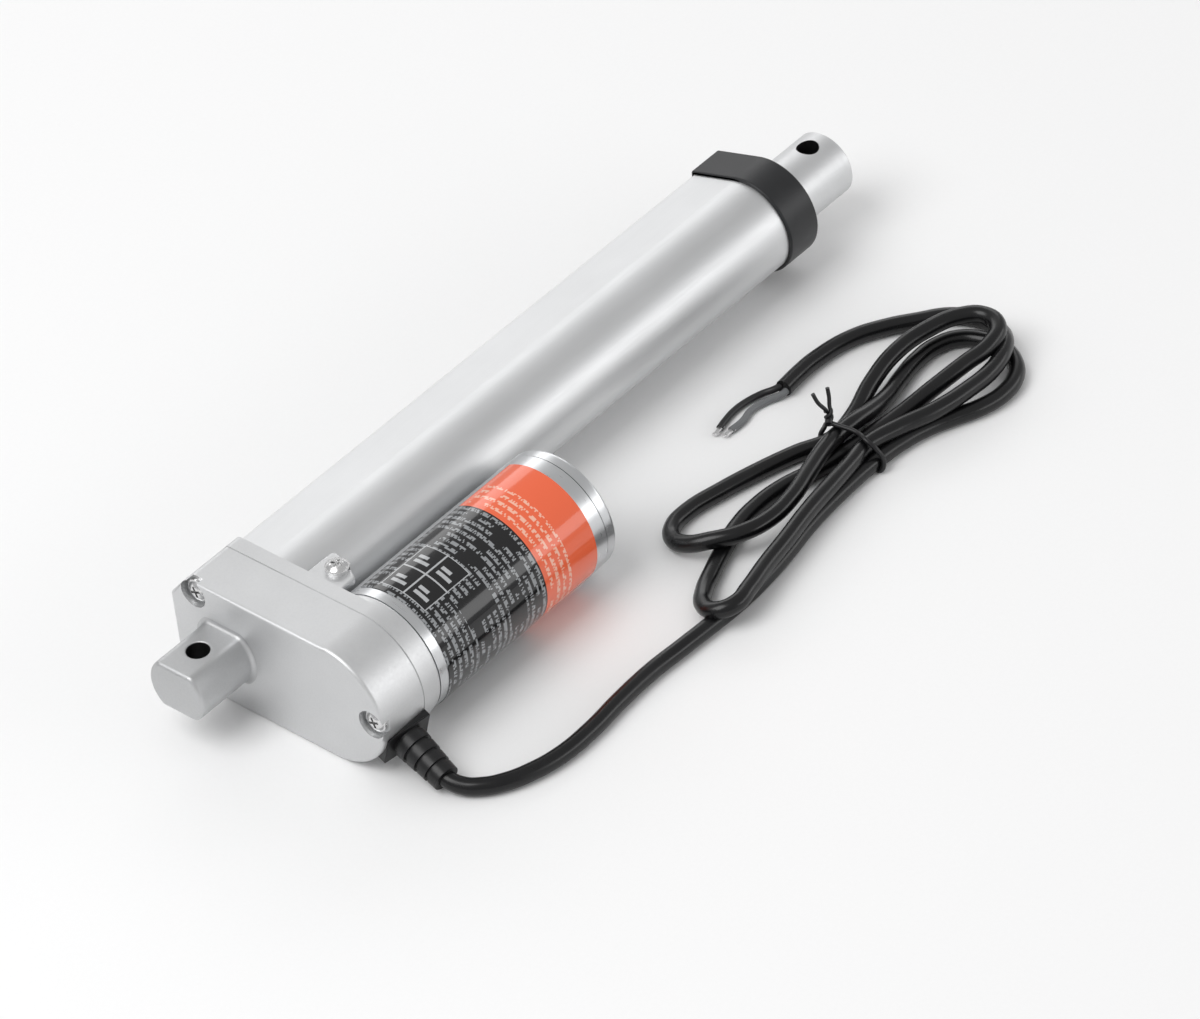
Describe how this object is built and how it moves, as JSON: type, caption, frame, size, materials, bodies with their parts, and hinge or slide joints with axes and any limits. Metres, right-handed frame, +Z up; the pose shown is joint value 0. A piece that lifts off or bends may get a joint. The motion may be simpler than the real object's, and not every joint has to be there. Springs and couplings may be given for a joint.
{
  "type": "linear actuator",
  "caption": "Electric linear actuator: D-section tube with a sliding rod, side-mounted motor with a banded label, gearbox, rear clevis and a folded, tied lead.",
  "frame": {"origin": "centre of the rear clevis pin bore", "axes": "+X along the rod axis from the rear pin to the rod end, +Z up along both pin bores, the motor on the -Y side"},
  "size_m": [0.2727, 0.115, 0.038],
  "materials": {
    "clevis_metal": "satin cast",
    "cast_alloy": "satin die-cast",
    "anodised": "satin extruded",
    "rod_steel": "turned and polished",
    "screw_steel": "ground",
    "motor_steel": "bright zinc plate",
    "screw_zinc": "bright zinc plate",
    "cap_plastic": "fine moulded",
    "black_plastic": "moulded",
    "white_plastic": "moulded",
    "gasket_grey": "pressed gasket sheet",
    "seal_rubber": "plain",
    "relief_rubber": "moulded",
    "cord_sheath": "semi-gloss sheath",
    "tie_plastic": "plain",
    "core_dark": "wire insulation",
    "core_pale": "wire insulation",
    "bronze": "machined",
    "copper": "wound or turned copper",
    "dark_iron": "plain",
    "label": "printed film, black with an orange band",
    "board": "circuit board"
  },
  "bodies": {
    "base": {"rear_clevis": "clevis_metal", "gearbox_cover": "cast_alloy", "gearbox_gasket": "gasket_grey", "gearbox_front": "cast_alloy", "outer_tube": "anodised", "front_cap": "cap_plastic", "rod_wiper": "seal_rubber", "guide_bush": "white_plastic", "bearing_outer": "screw_steel", "idler_pin": "screw_steel", "magnets": "dark_iron", "motor_can": "motor_steel", "motor_end_cap": "motor_steel", "motor_label": "label", "brush_plate": "black_plastic", "brushes": "dark_iron", "limit_board": "board", "limit_switches": "black_plastic", "cover_screws": "screw_zinc", "lug_screw": "screw_zinc", "strain_relief": "relief_rubber", "lead_cord": "cord_sheath", "cord_hank": "cord_sheath", "cord_tie": "tie_plastic", "cord_tail": "cord_sheath", "core_black": "core_dark", "core_grey": "core_pale"},
    "rod": {"rod": "rod_steel", "drive_nut": "bronze", "trip_arm": "white_plastic"},
    "screw": {"lead_screw": "screw_steel", "screw_gear": "white_plastic", "bearing_inner": "screw_steel"},
    "idler": {"idler_gear": "bronze"},
    "rotor": {"motor_shaft": "screw_steel", "armature": "dark_iron", "windings": "copper", "commutator": "copper", "motor_pinion": "bronze"}
  },
  "joints": [
    {"name": "rod_slide", "type": "slide", "parent": "base", "child": "rod", "axis": [1, 0, 0], "range_m": [0, 0.15]},
    {"name": "screw_spin", "type": "hinge", "parent": "base", "child": "screw", "pos_m": [0.03, 0, 0], "axis": [1, 0, 0], "range_deg": [-10810, 5]},
    {"name": "idler_spin", "type": "hinge", "parent": "base", "child": "idler", "pos_m": [0.02, -0.01926, 0], "axis": [1, 0, 0], "range_deg": [-5, 20270]},
    {"name": "rotor_spin", "type": "hinge", "parent": "base", "child": "rotor", "pos_m": [0.02, -0.036, 0], "axis": [1, 0, 0], "range_deg": [-37640, 5]}
  ],
  "couplings": [
    {"joint": "screw_spin", "follows": "rod_slide", "rad_per_m": -1256.6},
    {"joint": "idler_spin", "follows": "rod_slide", "rad_per_m": 2356.2},
    {"joint": "rotor_spin", "follows": "rod_slide", "rad_per_m": -4375.8}
  ]
}
